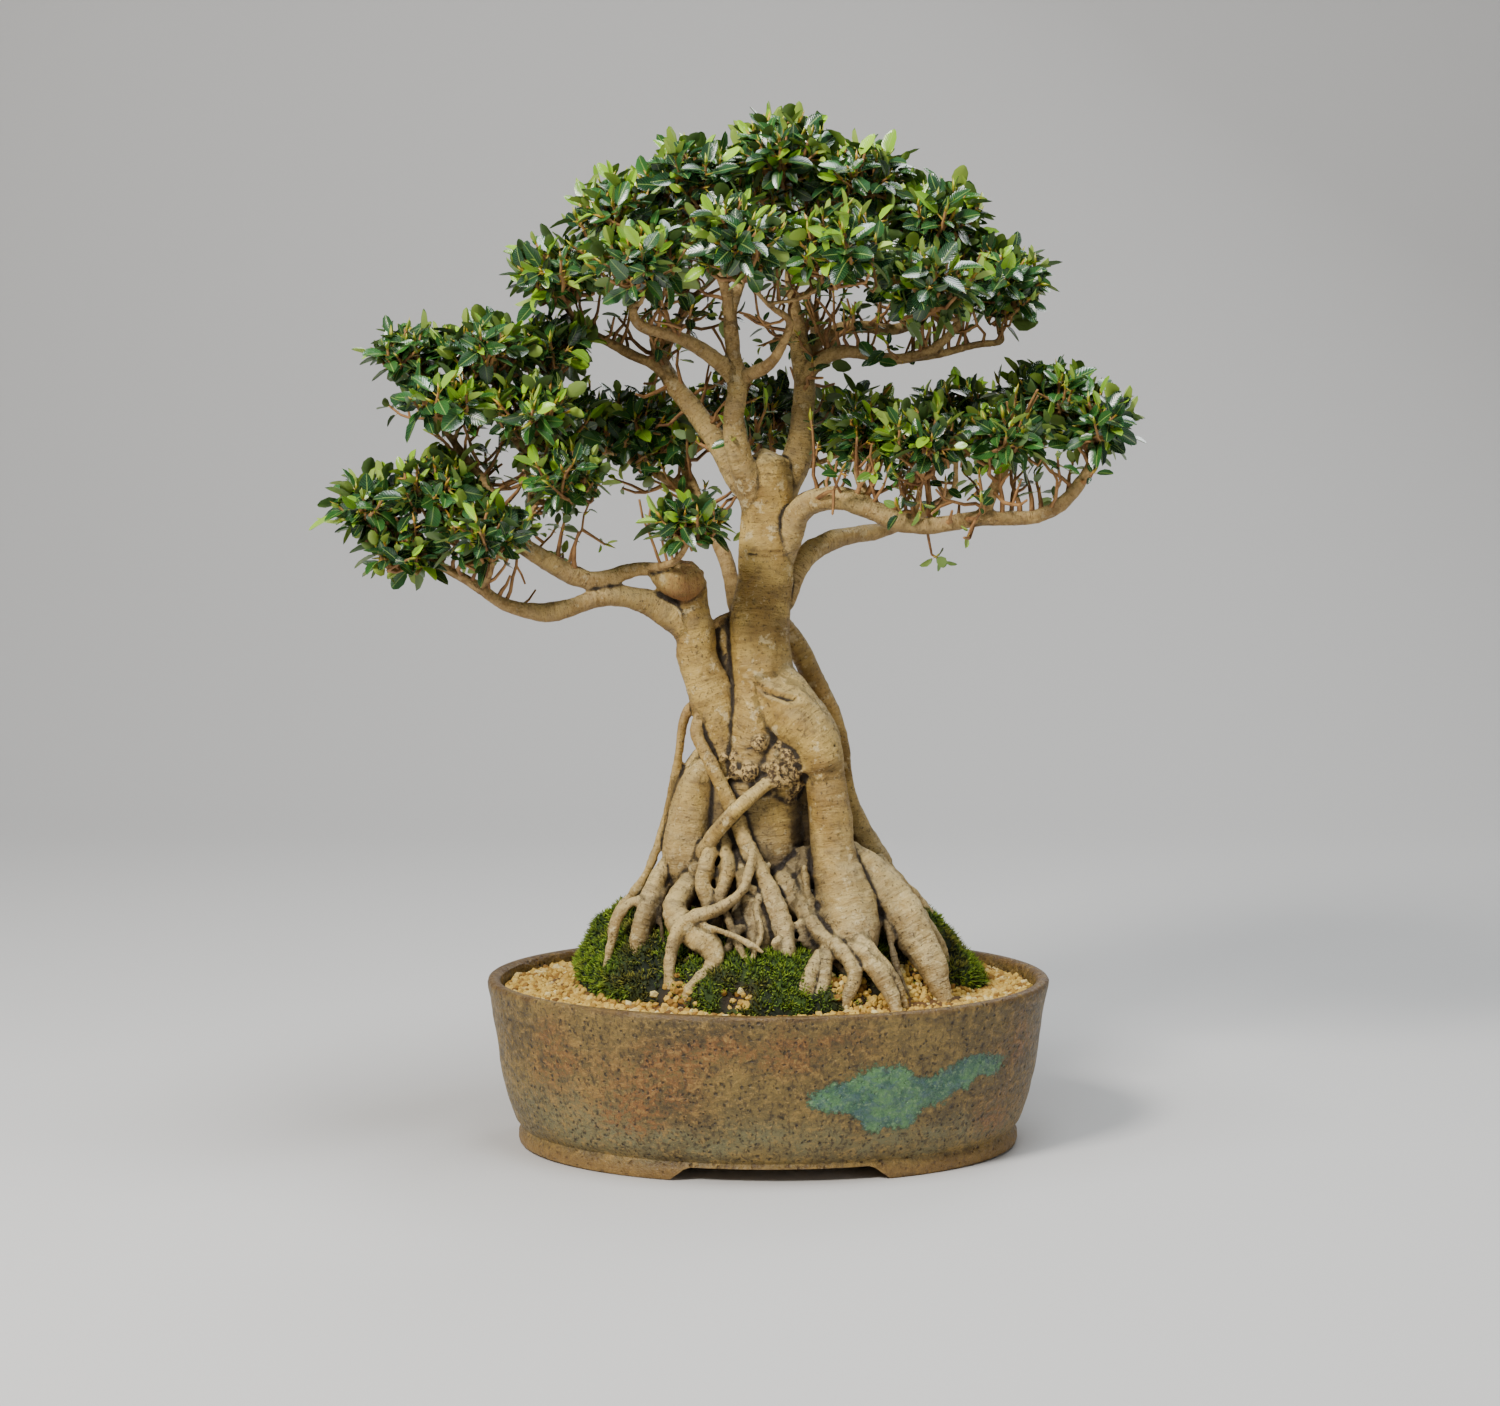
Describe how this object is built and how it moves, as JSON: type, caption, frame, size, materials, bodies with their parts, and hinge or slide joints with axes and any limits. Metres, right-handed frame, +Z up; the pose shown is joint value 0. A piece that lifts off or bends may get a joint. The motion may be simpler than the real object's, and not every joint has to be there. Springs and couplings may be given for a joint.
{
  "type": "fig bonsai in an oval pot",
  "caption": "Bonsai fig with a broad leafy crown, a forked trunk and a cone of exposed roots, in an oval footed stoneware pot with moss and gravel.",
  "frame": {"origin": "middle of the bottom of the whole plant's bounding box, level with the feet that the pot stands on; the pot's own middle lies a little to the right of it and nearer the viewer", "axes": "+Z up, +X to the right and +Y away from the viewer, as the plant is seen in the picture"},
  "size_m": [0.537, 0.2828, 0.6929],
  "materials": {
    "stoneware": "matt speckled olive and ochre stoneware glaze with rust patches and one blue-green glaze splash",
    "bark": "smooth tan bark with fine rings and pores",
    "foliage": "glossy leathery dark green leaf",
    "earth": "damp dark potting soil",
    "gravel": "loose golden grains of 3 to 5 mm",
    "moss": "short soft moss cushions"
  },
  "bodies": {
    "root": {"pot": "stoneware", "tree": "bark", "soil": "earth", "gravel_1": "gravel", "moss_1": "moss", "spray_crown_far_left": "foliage", "spray_crown_left": "foliage", "spray_crown_left_top": "foliage", "spray_crown_top": "foliage", "spray_crown_right_top": "foliage", "spray_crown_right": "foliage", "spray_crown_far_right": "foliage", "spray_crown_front_left": "foliage", "spray_crown_front": "foliage", "spray_crown_front_right": "foliage", "spray_crown_front_far_right": "foliage", "spray_crown_back_left": "foliage", "spray_crown_back": "foliage", "spray_crown_back_right": "foliage", "spray_crown_back_far_right": "foliage", "spray_middle_left_tip": "foliage", "spray_middle_left": "foliage", "spray_middle_left_root": "foliage", "spray_middle_left_low": "foliage", "spray_middle_left_front": "foliage", "spray_low_left_tip": "foliage", "spray_low_left": "foliage", "spray_low_left_hem": "foliage", "spray_low_left_front": "foliage", "spray_low_left_inner": "foliage", "spray_back_left": "foliage", "spray_back_left_far": "foliage", "spray_back_middle": "foliage", "spray_back_right": "foliage", "spray_right_tip": "foliage", "spray_right_upper": "foliage", "spray_right_middle": "foliage", "spray_right_inner": "foliage", "spray_right_near": "foliage", "spray_right_back": "foliage", "spray_heart": "foliage"}
  },
  "joints": []
}
